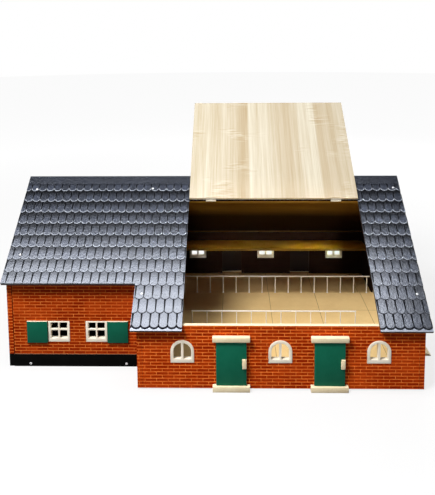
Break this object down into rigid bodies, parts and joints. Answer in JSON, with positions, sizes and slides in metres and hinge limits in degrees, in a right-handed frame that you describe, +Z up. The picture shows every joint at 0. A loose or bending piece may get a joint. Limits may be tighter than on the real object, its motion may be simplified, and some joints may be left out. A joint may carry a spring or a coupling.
{
  "type": "toy barn",
  "caption": "Wooden toy barn with a lower side wing, a roof panel that folds back over the ridge, hinged doors, arched windows, an alley floor with feed rails and a loft shelf.",
  "frame": {"origin": "on the ground under the middle of the barn's floor board, on that board's underside", "axes": "+X along the ridge from the wing to the ramp, +Y from the front wall to the back wall, +Z up"},
  "size_m": [0.8043, 0.5672, 0.4533],
  "materials": {
    "brick_board": "printed brick pattern on fibreboard, satin",
    "slate_roof": "embossed round slates, blue grey, semi-gloss",
    "oak_board": "oak print, satin",
    "floor_board": "beige slab print, satin",
    "plinth_black": "black paint",
    "green_paint": "dark green paint, satin",
    "cream_paint": "cream paint, satin",
    "cream_plastic": "moulded cream plastic",
    "steel": "plain steel wire and strip"
  },
  "bodies": {
    "building": {"barn_floor": "floor_board", "alley_floor": "floor_board", "alley_kerb_front": "floor_board", "alley_kerb_back": "floor_board", "wing_floor": "floor_board", "barn_front_wall": "brick_board", "barn_back_wall": "brick_board", "barn_left_gable": "brick_board", "barn_right_gable": "brick_board", "wing_left_gable": "brick_board", "wing_front_wall": "brick_board", "wing_back_wall": "brick_board", "wing_plinth_front": "plinth_black", "wing_plinth_back": "plinth_black", "ramp": "cream_paint", "roof_front_left": "slate_roof", "roof_front_right": "slate_roof", "roof_ridge_strip": "slate_roof", "roof_back": "slate_roof", "hinge_leaf_fixed_left": "steel", "hinge_leaf_fixed_right": "steel", "hinge_pin_left": "steel", "hinge_pin_right": "steel", "loft_shelf": "oak_board", "feed_rail_front": "steel", "feed_rail_back": "steel", "front_window_left": "cream_plastic", "front_window_middle": "cream_plastic", "front_window_right": "cream_plastic", "back_window_left": "cream_plastic", "back_window_middle": "cream_plastic", "back_window_right": "cream_plastic", "wing_window_left": "cream_plastic", "wing_window_right": "cream_plastic", "shutter_left": "green_paint", "shutter_right": "green_paint", "front_lintel_left": "cream_paint", "front_lintel_right": "cream_paint", "back_lintel_left": "cream_paint", "back_lintel_right": "cream_paint", "front_step_left": "cream_paint", "front_step_right": "cream_paint", "back_step_left": "cream_paint", "back_step_right": "cream_paint", "front_door_pin_left": "steel", "front_door_pin_right": "steel", "back_door_pin_left": "steel", "back_door_pin_right": "steel"},
    "roof_panel": {"roof_panel": "oak_board", "hinge_leaf_moving_left": "steel", "hinge_leaf_moving_right": "steel"},
    "front_door_left": {"front_door_left": "green_paint", "front_door_handle_left": "cream_paint"},
    "front_door_right": {"front_door_right": "green_paint", "front_door_handle_right": "cream_paint"},
    "back_door_left": {"back_door_left": "green_paint", "back_door_handle_left": "cream_paint"},
    "back_door_right": {"back_door_right": "green_paint", "back_door_handle_right": "cream_paint"}
  },
  "joints": [
    {"name": "roof_panel_hinge", "type": "hinge", "parent": "building", "child": "roof_panel", "pos_m": [0, -0.05377, 0.2816], "axis": [1, 0, 0], "range_deg": [0, 180]},
    {"name": "front_door_left_hinge", "type": "hinge", "parent": "building", "child": "front_door_left", "pos_m": [-0.1093, -0.2714, 0.05], "axis": [0, 0, -1], "range_deg": [0, 105]},
    {"name": "front_door_right_hinge", "type": "hinge", "parent": "building", "child": "front_door_right", "pos_m": [0.0613, -0.2714, 0.05], "axis": [0, 0, -1], "range_deg": [0, 105]},
    {"name": "back_door_left_hinge", "type": "hinge", "parent": "building", "child": "back_door_left", "pos_m": [-0.1093, 0.2714, 0.05], "axis": [0, 0, 1], "range_deg": [-8, 97]},
    {"name": "back_door_right_hinge", "type": "hinge", "parent": "building", "child": "back_door_right", "pos_m": [0.0613, 0.2714, 0.05], "axis": [0, 0, 1], "range_deg": [0, 105]}
  ]
}
